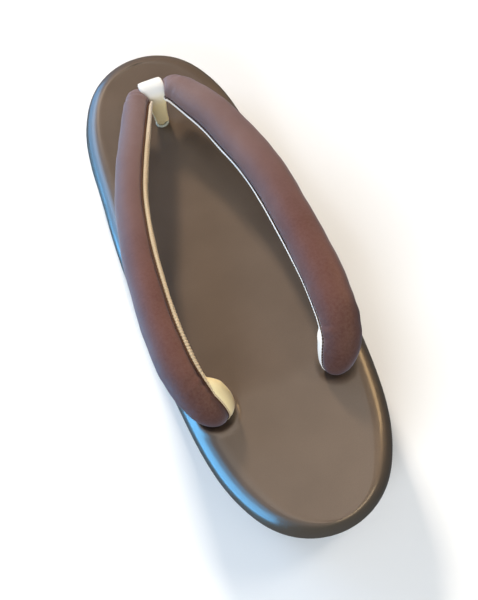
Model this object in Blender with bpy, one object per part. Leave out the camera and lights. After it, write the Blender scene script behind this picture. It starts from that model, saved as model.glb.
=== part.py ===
"""A zori sandal: a wrapped sole body on a thin rubber outsole, a padded two-armed strap and a toe loop.

Metres, +Z up. The sandal stands on z = 0 with its toe towards +Y and its long axis on x = 0.
"""

import math
from collections import namedtuple

import bmesh
import bpy
from mathutils import Vector

# Sole
SOLE_LENGTH = 0.240
SOLE_WIDTH = 0.0796
HEEL_HEIGHT = 0.0339
FOREFOOT_HEIGHT = 0.0198
TOE_SPRING = 0.0034
ARCH_RISE = 0.0018
HEEL_BEVEL = 0.0010
DECK_DISH = 0.0010

# Side of the sole body
UNDERCUT = 0.0050
HEEL_SHOULDER = 0.0040
TOE_SHOULDER = 0.0071

# Outsole
OUTSOLE_THICKNESS = 0.0045
OUTSOLE_INSET = 0.0062
OUTSOLE_EDGE = 0.0008

# Holes in the sole body
TOE_HOLE_SETBACK = 0.0395
SIDE_HOLE_SETBACK = 0.0575
SIDE_HOLE_INSET = 0.0145
HOLE_DEPTH = 0.0105
DIMPLE_DEPTH = 0.0040
DIMPLE_MARGIN = 0.0030
DIMPLE_FALL = 1.2
TOE_DIMPLE_DEPTH = 0.0012
TOE_DIMPLE_RADIUS = 0.0060

# Strap
STRAP_WIDTH = 0.0160
STRAP_THICKNESS = 0.0124
STRAP_RISE = 0.0210
ARM_INSET = 0.0072
STRAP_CORD_RADIUS = 0.0026
CROWN_BIAS = 0.08
LINING_FLATNESS = 0.25
TIP_TAPER = 1.3

# Toe loop
LOOP_LEAN = 0.0052
LOOP_WIDTH = 0.0090
LOOP_NECK_WIDTH = 0.0058
LOOP_THICKNESS = 0.0017
LOOP_CLEARANCE = 0.0009
LOOP_KNOT_LIFT = 0.0030
LOOP_CORD_RADIUS = 0.0027
LOOP_COLLAR_RADIUS = 0.0012
LOOP_SQUARENESS = 0.5

# Clearances between pieces that touch in the real sandal
FIT_GAP = 0.0003
SEAT_GAP = 0.0010

# How finely the surfaces are cut up
RING_POINTS = 96
DECK_RINGS = 11
UNDERSIDE_RINGS = 3
STRAP_POINTS = 16
SECTIONS_A_ROW = 4
TIP_SECTIONS = 8
LOOP_SECTIONS = 20
KNOT_SECTIONS = 6
LEG_SECTIONS = 4
LOOP_POINTS = 12
CYLINDER_POINTS = 24
SPINE_SETBACK = 0.8
RUN_STEP = 0.02
WELD = 0.00002

# Half width of the sole over that of an ellipse of the same length and width
Outline = namedtuple("Outline", "along fullness")
OUTLINE = (
    Outline(0.00, 1.510),
    Outline(0.10, 1.302),
    Outline(0.30, 1.072),
    Outline(0.50, 0.997),
    Outline(0.70, 1.031),
    Outline(0.90, 1.290),
    Outline(1.00, 1.530),
)

# Deck: share of the drop from heel height to forefoot height that is still to come, and of the toe spring
Deck = namedtuple("Deck", "along heel spring")
DECK = (
    Deck(0.00, 1.00, 0.00),
    Deck(0.13, 1.00, 0.00),
    Deck(0.24, 0.96, 0.00),
    Deck(0.34, 0.80, 0.00),
    Deck(0.46, 0.44, 0.00),
    Deck(0.58, 0.12, 0.00),
    Deck(0.70, 0.00, 0.00),
    Deck(0.84, 0.00, 0.16),
    Deck(1.00, 0.00, 0.70),
)

# Underside: shares of the heel's bevel, the arch's rise and the toe spring
Under = namedtuple("Under", "along bevel arch spring")
UNDER = (
    Under(0.00, 1.00, 0.00, 0.00),
    Under(0.05, 0.00, 0.00, 0.00),
    Under(0.30, 0.00, 0.00, 0.00),
    Under(0.44, 0.00, 1.00, 0.00),
    Under(0.58, 0.00, 0.00, 0.00),
    Under(0.80, 0.00, 0.00, 0.00),
    Under(0.90, 0.00, 0.00, 0.28),
    Under(1.00, 0.00, 0.00, 1.00),
)

# Side of the sole body from its lower edge up to the deck, at the heel and at the toe: shares of its height, of the
# undercut and of the shoulder
Side = namedtuple("Side", "rise heel_tuck heel_round toe_tuck toe_round")
SIDE = (
    Side(0.00, 1.00, 0.00, 1.00, 0.00),
    Side(0.10, 0.84, 0.00, 0.66, 0.00),
    Side(0.26, 0.56, 0.00, 0.24, 0.00),
    Side(0.46, 0.26, 0.00, 0.00, 0.00),
    Side(0.64, 0.00, 0.00, 0.00, 0.11),
    Side(0.79, 0.00, 0.08, 0.00, 0.29),
    Side(0.90, 0.00, 0.36, 0.00, 0.52),
    Side(0.97, 0.00, 0.70, 0.00, 0.78),
    Side(1.00, 0.00, 1.00, 0.00, 1.00),
)

# One arm of the strap from the toe loop to its side hole. Forward is the share of the way from the side hole to
# the loop, spread the share of the arm's widest place, lift the share of the strap's rise over the deck, and width
# and thickness are shares of the strap's own. Lean turns the padded face outwards, and back turns it towards the
# heel, both in degrees.
Arm = namedtuple("Arm", "forward spread lift width thickness lean back")
ARM = (
    Arm(1.000, 0.000, 0.66, 0.38, 0.48, 30, 0),
    Arm(0.998, 0.120, 0.66, 0.38, 0.48, 30, 0),
    Arm(0.988, 0.215, 0.67, 0.50, 0.62, 28, 0),
    Arm(0.966, 0.295, 0.70, 0.74, 0.88, 26, 0),
    Arm(0.928, 0.382, 0.74, 0.90, 0.98, 24, 0),
    Arm(0.833, 0.560, 0.82, 0.98, 1.00, 22, 0),
    Arm(0.745, 0.693, 0.89, 1.00, 1.00, 20, 0),
    Arm(0.638, 0.830, 0.96, 1.00, 1.00, 20, 0),
    Arm(0.516, 0.920, 1.00, 1.00, 1.00, 20, 0),
    Arm(0.395, 0.968, 0.98, 1.00, 1.00, 20, 0),
    Arm(0.273, 0.995, 0.92, 1.00, 1.00, 20, 5),
    Arm(0.175, 1.000, 0.83, 1.00, 1.00, 22, 15),
    Arm(0.100, 0.985, 0.70, 1.00, 1.00, 26, 32),
    Arm(0.052, 0.942, 0.55, 0.99, 1.00, 30, 50),
    Arm(0.024, 0.885, 0.40, 0.97, 1.00, 34, 64),
)

STRAP_COLOUR = (0.19, 0.105, 0.088, 1.0)
SOLE_COLOUR = (0.23, 0.165, 0.125, 1.0)
OUTSOLE_COLOUR = (0.018, 0.018, 0.020, 1.0)
LOOP_COLOUR = (0.82, 0.75, 0.60, 1.0)

HALF_WIDTH = SOLE_WIDTH / 2
TOE_HOLE_Y = SOLE_LENGTH / 2 - TOE_HOLE_SETBACK
SIDE_HOLE_Y = SIDE_HOLE_SETBACK - SOLE_LENGTH / 2
SIDE_HOLE_X = HALF_WIDTH - SIDE_HOLE_INSET
ARM_SPREAD = HALF_WIDTH - ARM_INSET
LOOP_Y = TOE_HOLE_Y + LOOP_LEAN
DIMPLE_RADIUS = STRAP_WIDTH / 2 + DIMPLE_MARGIN


def steady_slopes(places, values):
    """Slopes of a smooth curve that never swings past its own rows, so level stretches stay level."""
    steps = [(values[i + 1] - values[i]) / (places[i + 1] - places[i]) for i in range(len(places) - 1)]
    slopes = [steps[0]]
    for before, after in zip(steps, steps[1:]):
        slopes.append(0.0 if before * after <= 0 else 2 * before * after / (before + after))
    slopes.append(steps[-1])
    return slopes


def flowing_slopes(values):
    """Slopes of a smooth curve that swings freely through rows one step apart."""
    inner = [(after - before) / 2 for before, after in zip(values, values[2:])]
    first = 1.5 * (values[1] - values[0]) - 0.5 * inner[0]
    last = 1.5 * (values[-1] - values[-2]) - 0.5 * inner[-1]
    return [first, *inner, last]


def between(places, values, slopes, at):
    """The curve's value at one place, by cubic Hermite steps between its rows."""
    at = min(max(at, places[0]), places[-1])
    i = 0
    while i < len(places) - 2 and at > places[i + 1]:
        i += 1
    width = places[i + 1] - places[i]
    s = (at - places[i]) / width
    return (
        values[i] * (1 + 2 * s) * (1 - s) ** 2
        + slopes[i] * width * s * (1 - s) ** 2
        + values[i + 1] * s * s * (3 - 2 * s)
        + slopes[i + 1] * width * s * s * (s - 1)
    )


def read(rows, column, along):
    """A column of one of the sole's tables at a share of the sole's length."""
    places = [row[0] for row in rows]
    values = [getattr(row, column) for row in rows]
    return between(places, values, steady_slopes(places, values), along)


def share(y):
    return min(max(y / SOLE_LENGTH + 0.5, 0.0), 1.0)


def half_width(along):
    return 2 * HALF_WIDTH * math.sqrt(along * (1 - along)) * read(OUTLINE, "fullness", along)


def under_z(y):
    """Height of the outsole's underside over the floor."""
    along = share(y)
    return (
        HEEL_BEVEL * read(UNDER, "bevel", along)
        + ARCH_RISE * read(UNDER, "arch", along)
        + TOE_SPRING * read(UNDER, "spring", along)
    )


def deck_line(y):
    """Height of the deck's edge."""
    along = share(y)
    drop = HEEL_HEIGHT - FOREFOOT_HEIGHT
    return FOREFOOT_HEIGHT + drop * read(DECK, "heel", along) + TOE_SPRING * read(DECK, "spring", along)


def dimple(x, y, centre_x, centre_y, radius, depth):
    """How far a strap end or the toe loop presses the deck down."""
    distance = math.hypot(x - centre_x, y - centre_y) / radius
    return depth * math.exp(-DIMPLE_FALL * distance * distance)


def pressed(x, y):
    """The dimples where the strap and the loop go into the deck."""
    toe = dimple(x, y, 0.0, TOE_HOLE_Y, TOE_DIMPLE_RADIUS, TOE_DIMPLE_DEPTH)
    return toe + dimple(abs(x), y, SIDE_HOLE_X, SIDE_HOLE_Y, DIMPLE_RADIUS, DIMPLE_DEPTH)


def deck_z(x, y):
    """Height of the deck, with its dish and its dimples."""
    along = share(y)
    reach = max(half_width(along) - TOE_SHOULDER, TOE_SHOULDER)
    dish = DECK_DISH * max(0.0, 1 - (x / reach) ** 2) * math.sqrt(math.sin(math.pi * along))
    return deck_line(y) - dish - pressed(x, y)


def outline_point(turn):
    along = (1 - math.cos(turn)) / 2
    width = half_width(along)
    return Vector((width if turn < math.pi else -width, (along - 0.5) * SOLE_LENGTH))


def outline():
    """Points and normals round the sole's widest outline, from the heel by the right side to the toe and back."""
    step = 2 * math.pi / RING_POINTS
    points = [outline_point(step * i) for i in range(RING_POINTS)]
    ring = []
    for i, point in enumerate(points):
        run = points[(i + 1) % RING_POINTS] - points[i - 1]
        ring.append((point, Vector((run.y, -run.x)).normalized()))
    return ring


def spine_fill(ring, rings, height):
    """Rings from a closed outline in to the sole's middle line, at the heights that the function gives."""
    low = min(point.y for point in ring)
    high = max(point.y for point in ring)
    middle = (low + high) / 2
    reach = (high - low) / 2
    shrink = 1 - HALF_WIDTH / reach * SPINE_SETBACK
    filled = []
    for k in range(1, rings + 1):
        inward = k / rings
        row = []
        for point in ring:
            x = point.x * (1 - inward)
            y = middle + (point.y - middle) * (1 - inward * (1 - shrink) * abs((point.y - middle) / reach))
            row.append(Vector((x, y, height(x, y))))
        filled.append(row)
    return filled


def shell(name, rings):
    """A closed mesh through rings of equal count, whose first and last rings are folded shut or are the same."""
    mesh = bmesh.new()
    corners = [[mesh.verts.new(point) for point in ring] for ring in rings]
    for lower, upper in zip(corners, corners[1:]):
        for i in range(len(lower)):
            j = (i + 1) % len(lower)
            mesh.faces.new((lower[i], lower[j], upper[j], upper[i]))
    bmesh.ops.remove_doubles(mesh, verts=mesh.verts, dist=WELD)
    bmesh.ops.dissolve_degenerate(mesh, edges=mesh.edges, dist=WELD / 2)
    bmesh.ops.recalc_face_normals(mesh, faces=mesh.faces)
    return to_object(name, mesh)


def to_object(name, mesh):
    data = bpy.data.meshes.new(name)
    mesh.to_mesh(data)
    mesh.free()
    data.shade_smooth()
    return bpy.data.objects.new(name, data)


def material(name, colour, roughness):
    surface = bpy.data.materials.new(name)
    surface.use_nodes = True
    shader = surface.node_tree.nodes["Principled BSDF"]
    shader.inputs["Base Color"].default_value = colour
    shader.inputs["Roughness"].default_value = roughness
    shader.inputs["Metallic"].default_value = 0.0
    surface.diffuse_color = colour
    return surface


def boolean(target, other, operation):
    modifier = target.modifiers.new(other.name, "BOOLEAN")
    modifier.operation = operation
    modifier.object = other


def cylinder(name, radius, low, high):
    """A round upright cutter or cord between two points, one over the other."""
    mesh = bmesh.new()
    bmesh.ops.create_cone(
        mesh, cap_ends=True, segments=CYLINDER_POINTS, radius1=radius, radius2=radius, depth=high.z - low.z
    )
    piece = to_object(name, mesh)
    piece.location = (low + high) / 2
    return piece


def make_outsole():
    """A rubber sheet under the whole sole, with a small bevel round its lower edge."""
    rings = []
    for inset, lift in (
        (OUTSOLE_INSET + OUTSOLE_EDGE, 0.0),
        (OUTSOLE_INSET, OUTSOLE_EDGE),
        (OUTSOLE_INSET, OUTSOLE_THICKNESS),
    ):
        ring = []
        for point, normal in outline():
            spot = point - normal * inset
            ring.append(Vector((spot.x, spot.y, under_z(spot.y) + lift)))
        rings.append(ring)
    bottom = spine_fill(rings[0], UNDERSIDE_RINGS, lambda x, y: under_z(y))
    top = spine_fill(rings[-1], UNDERSIDE_RINGS, lambda x, y: under_z(y) + OUTSOLE_THICKNESS)
    return shell("outsole", bottom[::-1] + rings + top)


def base_z(y):
    return under_z(y) + OUTSOLE_THICKNESS + FIT_GAP


def make_sole_body():
    """The wrapped body: tucked in at its lower edge, rounded over at the shoulder, and dished on top."""
    rings = []
    for row in SIDE:
        ring = []
        for point, normal in outline():
            along = share(point.y)
            heel = UNDERCUT * row.heel_tuck + HEEL_SHOULDER * row.heel_round
            toe = UNDERCUT * row.toe_tuck + TOE_SHOULDER * row.toe_round
            spot = point - normal * (heel + (toe - heel) * along)
            low = base_z(spot.y)
            high = deck_line(spot.y) - pressed(spot.x, spot.y)
            ring.append(Vector((spot.x, spot.y, low + (high - low) * row.rise)))
        rings.append(ring)
    bottom = spine_fill(rings[0], UNDERSIDE_RINGS, lambda x, y: base_z(y))
    deck = spine_fill(rings[-1], DECK_RINGS, deck_z)
    return shell("sole_body", bottom[::-1] + rings + deck)


def hole_floor(x, y):
    return deck_z(x, y) - HOLE_DEPTH


def hole_cutters():
    """One blind hole under the toe loop and one under each end of the strap."""
    spots = (
        ("toe_hole", 0.0, TOE_HOLE_Y, LOOP_CORD_RADIUS),
        ("left_hole", -SIDE_HOLE_X, SIDE_HOLE_Y, STRAP_CORD_RADIUS),
        ("right_hole", SIDE_HOLE_X, SIDE_HOLE_Y, STRAP_CORD_RADIUS),
    )
    cutters = []
    for name, x, y, cord in spots:
        low = Vector((x, y, hole_floor(x, y)))
        high = Vector((x, y, HEEL_HEIGHT + HOLE_DEPTH))
        cutters.append(cylinder(name, cord + FIT_GAP, low, high))
    return cutters


def arm_value(column, at):
    places = list(range(len(ARM)))
    values = [getattr(row, column) for row in ARM]
    slopes = flowing_slopes(values)
    if column != "spread":
        slopes[0] = 0.0
    return between(places, values, slopes, at)


def arm_centre(at):
    y = SIDE_HOLE_Y + arm_value("forward", at) * (LOOP_Y - SIDE_HOLE_Y)
    x = arm_value("spread", at) * ARM_SPREAD
    return Vector((x, y, deck_line(y) + arm_value("lift", at) * STRAP_RISE))


def arm_section(centre, run, crown, width, thickness, padded=1.0):
    """A ring of points with a full padded side and a flatter lining side, or a round cord where padded is 0."""
    run = run.normalized()
    crown = (crown - run * crown.dot(run)).normalized()
    across = run.cross(crown)
    ring = []
    for i in range(STRAP_POINTS):
        turn = 2 * math.pi * i / STRAP_POINTS
        side = math.cos(turn)
        up = math.sin(turn)
        if up > 0:
            height = (0.5 + CROWN_BIAS * padded) * up
        else:
            height = -(0.5 - CROWN_BIAS * padded) * abs(up) ** (1 - LINING_FLATNESS * padded)
        ring.append(centre + across * side * width / 2 + crown * height * thickness)
    return ring


def crown_direction(run, lean, back):
    """The way the padded face looks: up, leaning outwards, and round to the heel where the arm dives."""
    outward = Vector((-run.y, run.x, 0.0)).normalized()
    lean = math.radians(lean)
    back = math.radians(back)
    return (
        outward * math.sin(lean)
        + Vector((0, 0, 1)) * math.cos(lean) * math.cos(back)
        + Vector((0, -1, 0)) * math.cos(lean) * math.sin(back)
    )


def arm_rings():
    """Sections of the right arm from the middle of the toe loop down to the end of its cord."""
    last = len(ARM) - 1
    count = last * SECTIONS_A_ROW
    rings = []
    for k in range(count + 1):
        at = k / SECTIONS_A_ROW
        centre = arm_centre(at)
        run = arm_centre(min(at + RUN_STEP, last)) - arm_centre(max(at - RUN_STEP, 0))
        if k == 0:
            run = Vector((1.0, 0.0, 0.0))
        crown = crown_direction(run, arm_value("lean", at), arm_value("back", at))
        width = STRAP_WIDTH * arm_value("width", at)
        thickness = STRAP_THICKNESS * arm_value("thickness", at)
        rings.append(arm_section(centre, run, crown, width, thickness))
    seat = Vector((SIDE_HOLE_X, SIDE_HOLE_Y, 0))
    seat.z = deck_z(seat.x, seat.y) + SEAT_GAP
    end = arm_centre(last)
    end_run = run
    reach = (seat - end).length
    ways = (run.normalized() * reach, Vector((0, 0, -reach)))
    cord = 2 * STRAP_CORD_RADIUS
    for k in range(1, TIP_SECTIONS + 1):
        turn = math.pi / 2 * k / TIP_SECTIONS
        at = math.sin(turn)
        centre = between((0, 1), (end, seat), ways, at)
        run = centre - between((0, 1), (end, seat), ways, at - RUN_STEP)
        crown = crown_direction(end_run, ARM[-1].lean, ARM[-1].back + (90 - ARM[-1].back) * at)
        padded = math.cos(turn) ** TIP_TAPER
        width = cord + (STRAP_WIDTH * ARM[-1].width - cord) * padded
        thickness = cord + (STRAP_THICKNESS * ARM[-1].thickness - cord) * padded
        rings.append(arm_section(centre, run, crown, width, thickness, padded))
    low = seat - Vector((0, 0, HOLE_DEPTH - SEAT_GAP))
    rings.append(arm_section(low, Vector((0, 0, -1)), crown, cord, cord, 0.0))
    rings.append([low.copy() for _ in range(STRAP_POINTS)])
    return rings


def mirrored(ring):
    return [Vector((-point.x, point.y, point.z)) for point in ring]


def make_strap():
    """One padded tube from the left hole round inside the toe loop to the right hole."""
    right = arm_rings()
    left = [mirrored(ring) for ring in right[:0:-1]]
    return shell("strap", left + right)


def turned(direction, angle):
    """A direction in the plane x = 0, turned about +X."""
    return Vector((
        0.0,
        direction.y * math.cos(angle) - direction.z * math.sin(angle),
        direction.y * math.sin(angle) + direction.z * math.cos(angle),
    ))


def loop_path():
    """The band's middle line in the plane x = 0: a belt round the strap's neck and the knot under it."""
    neck = arm_centre(0)
    knot = Vector((0.0, TOE_HOLE_Y, deck_z(0, TOE_HOLE_Y) + LOOP_KNOT_LIFT))
    neck_radius = STRAP_WIDTH * ARM[0].width / 2 + LOOP_CLEARANCE + LOOP_THICKNESS / 2
    knot_radius = LOOP_THICKNESS / 2 + LOOP_CLEARANCE
    way = (neck - knot).normalized()
    open_angle = math.acos((knot_radius - neck_radius) / (neck - knot).length)
    over = [
        neck + turned(way, open_angle * (1 - 2 * k / LOOP_SECTIONS)) * neck_radius
        for k in range(LOOP_SECTIONS + 1)
    ]
    low_angle = 2 * math.pi - 2 * open_angle
    under = [
        knot + turned(way, -open_angle - low_angle * k / KNOT_SECTIONS) * knot_radius
        for k in range(KNOT_SECTIONS + 1)
    ]
    front = [over[-1].lerp(under[0], k / LEG_SECTIONS) for k in range(1, LEG_SECTIONS)]
    rear = [under[-1].lerp(over[0], k / LEG_SECTIONS) for k in range(1, LEG_SECTIONS)]
    return over + front + under + rear


def squared(wave):
    """A sine or cosine that stays near its ends for longer, which squares up a round section."""
    return math.copysign(abs(wave) ** LOOP_SQUARENESS, wave)


def make_loop_band():
    """A flat band, fanned out where it crosses the strap and narrow where its two legs meet."""
    path = loop_path()
    low = min(point.z for point in path)
    high = max(point.z for point in path)
    rings = []
    for i, point in enumerate(path):
        run = (path[(i + 1) % len(path)] - path[i - 1]).normalized()
        out = Vector((0.0, run.z, -run.y))
        fan = (point.z - low) / (high - low)
        width = LOOP_NECK_WIDTH + (LOOP_WIDTH - LOOP_NECK_WIDTH) * fan**2
        ring = []
        for k in range(LOOP_POINTS):
            turn = 2 * math.pi * (k + 0.5) / LOOP_POINTS
            side = squared(math.cos(turn)) * width / 2
            face = squared(math.sin(turn)) * LOOP_THICKNESS / 2
            ring.append(point + Vector((side, 0.0, 0.0)) + out * face)
        rings.append(ring)
    return shell("toe_loop", rings + rings[:1])


def make_loop_cord():
    """The cord that both legs of the band run into, down into the toe hole."""
    deck = deck_z(0, TOE_HOLE_Y)
    low = Vector((0.0, TOE_HOLE_Y, deck - HOLE_DEPTH + SEAT_GAP))
    high = Vector((0.0, TOE_HOLE_Y, deck + LOOP_KNOT_LIFT + LOOP_THICKNESS))
    return cylinder("toe_loop_cord", LOOP_CORD_RADIUS, low, high)


def make_loop_collar():
    """The turn of the band that lies round the cord on the deck."""
    ring = LOOP_CORD_RADIUS + LOOP_COLLAR_RADIUS / 2
    edge = deck_z(ring + LOOP_COLLAR_RADIUS, TOE_HOLE_Y)
    bpy.ops.mesh.primitive_torus_add(
        major_radius=ring,
        minor_radius=LOOP_COLLAR_RADIUS,
        major_segments=CYLINDER_POINTS,
        minor_segments=LOOP_POINTS,
        location=(0.0, TOE_HOLE_Y, edge + LOOP_COLLAR_RADIUS + FIT_GAP),
    )
    collar = bpy.context.active_object
    collar.name = "toe_loop_collar"
    bpy.context.collection.objects.unlink(collar)
    return collar


def put_in(collection, pieces):
    for piece in pieces:
        collection.objects.link(piece)


def build():
    for old in list(bpy.data.objects):
        bpy.data.objects.remove(old)
    sandal = bpy.data.collections.new("zori_sandal")
    helpers = bpy.data.collections.new("cutters")
    bpy.context.scene.collection.children.link(sandal)
    bpy.context.scene.collection.children.link(helpers)

    outsole = make_outsole()
    body = make_sole_body()
    strap = make_strap()
    loop = make_loop_band()
    cord = make_loop_cord()
    collar = make_loop_collar()
    cutters = hole_cutters()
    put_in(sandal, (outsole, body, strap, loop))
    put_in(helpers, (cord, collar, *cutters))
    for helper in helpers.objects:
        helper.hide_render = True
        helper.display_type = "WIRE"
    for cutter in cutters:
        boolean(body, cutter, "DIFFERENCE")
    boolean(loop, cord, "UNION")
    boolean(loop, collar, "UNION")

    outsole.data.materials.append(material("outsole_rubber", OUTSOLE_COLOUR, 0.62))
    body.data.materials.append(material("wrapped_leather", SOLE_COLOUR, 0.34))
    strap.data.materials.append(material("strap_fabric", STRAP_COLOUR, 0.85))
    loop.data.materials.append(material("loop_fabric", LOOP_COLOUR, 0.80))


build()
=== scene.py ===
"""Looks of the zori sandal: fine meshes, materials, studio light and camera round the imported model.

Metres, +Z up, toe towards +Y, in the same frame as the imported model.
"""

import math

import bmesh
import bpy
import numpy as np
from mathutils import Matrix, Vector


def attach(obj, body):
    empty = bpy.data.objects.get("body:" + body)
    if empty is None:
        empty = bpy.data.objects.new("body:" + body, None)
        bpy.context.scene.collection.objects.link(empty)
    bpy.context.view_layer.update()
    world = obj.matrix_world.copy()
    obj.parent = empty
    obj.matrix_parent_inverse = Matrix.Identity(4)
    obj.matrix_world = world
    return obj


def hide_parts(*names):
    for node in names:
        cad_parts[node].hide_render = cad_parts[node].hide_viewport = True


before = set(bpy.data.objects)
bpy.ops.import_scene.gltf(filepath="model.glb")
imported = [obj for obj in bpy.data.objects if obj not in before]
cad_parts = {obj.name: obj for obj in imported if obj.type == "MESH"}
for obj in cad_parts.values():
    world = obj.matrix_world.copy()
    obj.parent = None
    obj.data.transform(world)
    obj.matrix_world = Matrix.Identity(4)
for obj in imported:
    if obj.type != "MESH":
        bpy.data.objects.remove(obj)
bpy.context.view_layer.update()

# Sole
SOLE_LENGTH = 0.240
SOLE_WIDTH = 0.0796
HEEL_HEIGHT = 0.0339
FOREFOOT_HEIGHT = 0.0198
TOE_SPRING = 0.0034
ARCH_RISE = 0.0018
HEEL_BEVEL = 0.0010
DECK_DISH = 0.0010
UNDERCUT = 0.0050
HEEL_SHOULDER = 0.0090
HEEL_BACK_SHARE = 0.22
TOE_SHOULDER = 0.0071
RIM_RIDGE = 0.00005
RIM_RIDGE_WIDTH = 0.0013

BODY_LIFT = 0.0001

# Outsole
OUTSOLE_THICKNESS = 0.0045
OUTSOLE_INSET = 0.0062
OUTSOLE_EDGE = 0.0008
TREAD_PITCH = 0.0048
TREAD_DEPTH = 0.0006
TREAD_MARGIN = 0.0040
TREAD_WAVE = 0.0016
TREAD_WAVE_LENGTH = 0.016

# Dimples in the deck
TOE_HOLE_SETBACK = 0.0395
SIDE_HOLE_SETBACK = 0.0575
SIDE_HOLE_INSET = 0.0145
DIMPLE_DEPTH = 0.0038
DIMPLE_RADIUS = 0.0060
DIMPLE_STEEPNESS = 3.0
DIMPLE_RIM = 0.0011
DIMPLE_RIM_RADIUS = 0.0077
DIMPLE_RIM_WIDTH = 0.0012
TOE_DIMPLE_DEPTH = 0.0012
TOE_DIMPLE_RADIUS = 0.0060
TOE_DIMPLE_SHARPNESS = 1.2

# Strap
STRAP_WIDTH = 0.0160
STRAP_THICKNESS = 0.0124
STRAP_RISE = 0.0210
ARM_INSET = 0.0072
STRAP_CORD_RADIUS = 0.0026
CROWN_BIAS = 0.08
LINING_FLATNESS = 0.25
TIP_TAPER = 1.3
SEAM_GROOVE = 0.00060
SEAM_GROOVE_WIDTH = 0.16
SEAM_GROOVE_LEAD = 0.13
CORD_TAIL = 0.0025
SEAT_LIFT = 0.0002
CREASE_RIDGE_SHARE = 0.45
CREASE_RIDGE_PLACE = 1.7
LINING_STAND = 0.00030
LINING_SINK = 0.00060
LINING_EDGE_SHARE = 0.06
STITCH_PITCH = 0.0013
STITCH_DRAW = 0.30
STITCH_WIDTH = 0.18
# The dark cord of painted shade beside the inner seam:
SEAM_SHADE_SHARE = 0.42
SEAM_SHADE_LEAD = 0.15
SEAM_SHADE_STAND = -0.09
EDGE_RADIUS = 0.0009
EDGE_STAND = 0.15
END_ZONE_START = -0.025
END_ZONE_LENGTH = 0.035

# Toe loop
LOOP_LEAN = 0.0052
LOOP_WIDTH = 0.0108
LOOP_NECK_WIDTH = 0.0056
LOOP_THICKNESS = 0.0013
LOOP_CLEARANCE = 0.0008
LOOP_KNOT_LIFT = 0.0030
LOOP_COLLAR_RADIUS = 0.0006
LOOP_CORD_RADIUS = 0.0019
LOOP_FOOT_SHIFT = 0.0003
PLEAT_DEPTH = 0.00062
FLAP_WAVE = 0.00035

# Meshes
WELD = 2e-6
BODY_POINTS = 230
BODY_RINGS = 41
DECK_POINTS = 121
OUTSOLE_POINTS = 361
TREAD_POINTS = 61
STRAP_SIDES = 72
LINING_POINTS = 30
LINE_SIDES = 12
LINE_STEP = 0.02
LINE_TIP_STEPS = 60
LINING_END = 0.985
LINE_END = 0.97
LOOP_POINTS = 41
TURN_POINTS = 64
SLOPE_STEP = 0.02

# Camera
CAMERA_PLACE = (-0.0494, -0.2172, 0.4280)
CAMERA_AIM = (-0.0005, -0.0186, 0.0250)
CAMERA_ROLL = -8.285
CAMERA_LENS = 67.87

HALF_WIDTH = SOLE_WIDTH / 2
TOE_HOLE_Y = SOLE_LENGTH / 2 - TOE_HOLE_SETBACK
SIDE_HOLE_Y = SIDE_HOLE_SETBACK - SOLE_LENGTH / 2
SIDE_HOLE_X = HALF_WIDTH - SIDE_HOLE_INSET
ARM_SPREAD = HALF_WIDTH - ARM_INSET
LOOP_Y = TOE_HOLE_Y + LOOP_LEAN

# Columns: share of the length, fullness
OUTLINE = np.array((
    (0.00, 1.510), (0.10, 1.302), (0.30, 1.072), (0.50, 0.997), (0.70, 1.031), (0.90, 1.290), (1.00, 1.530),
))
# Columns: share of the length, heel, toe spring
DECK = np.array((
    (0.00, 1.00, 0.00), (0.13, 1.00, 0.00), (0.24, 0.96, 0.00), (0.34, 0.80, 0.00), (0.46, 0.44, 0.00),
    (0.58, 0.12, 0.00), (0.70, 0.00, 0.00), (0.84, 0.00, 0.16), (1.00, 0.00, 0.70),
))
# Columns: share of the length, heel bevel, arch, toe spring
UNDER = np.array((
    (0.00, 1.00, 0.00, 0.00), (0.05, 0.00, 0.00, 0.00), (0.30, 0.00, 0.00, 0.00), (0.44, 0.00, 1.00, 0.00),
    (0.58, 0.00, 0.00, 0.00), (0.80, 0.00, 0.00, 0.00), (0.90, 0.00, 0.00, 0.28), (1.00, 0.00, 0.00, 1.00),
))
# Columns: rise, tuck and rounding at the heel, tuck and rounding at the toe
SIDE = np.array((
    (0.00, 1.00, 0.00, 1.00, 0.00), (0.10, 0.84, 0.00, 0.66, 0.00), (0.26, 0.56, 0.00, 0.24, 0.00),
    (0.46, 0.26, 0.00, 0.00, 0.00), (0.64, 0.00, 0.00, 0.00, 0.11), (0.79, 0.00, 0.06, 0.00, 0.27),
    (0.88, 0.00, 0.22, 0.00, 0.46), (0.93, 0.00, 0.37, 0.00, 0.60), (0.97, 0.00, 0.57, 0.00, 0.76),
    (0.99, 0.00, 0.79, 0.00, 0.90), (1.00, 0.00, 1.00, 0.00, 1.00),
))
# Columns: forward, spread, lift, width, thickness, lean, back
ARM = np.array((
    (1.000, 0.000, 0.66, 0.38, 0.48, 30, 0),
    (0.998, 0.120, 0.66, 0.38, 0.48, 30, 0),
    (0.988, 0.215, 0.67, 0.50, 0.62, 28, 0),
    (0.966, 0.295, 0.70, 0.74, 0.88, 26, 0),
    (0.928, 0.382, 0.74, 0.90, 0.98, 24, 0),
    (0.833, 0.560, 0.82, 0.98, 1.00, 22, 0),
    (0.745, 0.693, 0.89, 1.00, 1.00, 20, 0),
    (0.638, 0.830, 0.96, 1.00, 1.00, 20, 0),
    (0.516, 0.920, 1.00, 1.00, 1.00, 20, 0),
    (0.395, 0.968, 0.98, 1.00, 1.00, 20, 0),
    (0.273, 0.995, 0.92, 1.00, 1.00, 20, 5),
    (0.175, 1.000, 0.83, 1.00, 1.00, 22, 15),
    (0.100, 0.985, 0.70, 1.00, 1.00, 26, 32),
    (0.052, 0.942, 0.55, 0.99, 1.00, 30, 50),
    (0.024, 0.885, 0.40, 0.97, 1.00, 34, 64),
))
FORWARD, SPREAD, LIFT, WIDE, THICK, LEAN, BACK = range(7)
ARM_END = len(ARM) - 1.0

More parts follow.
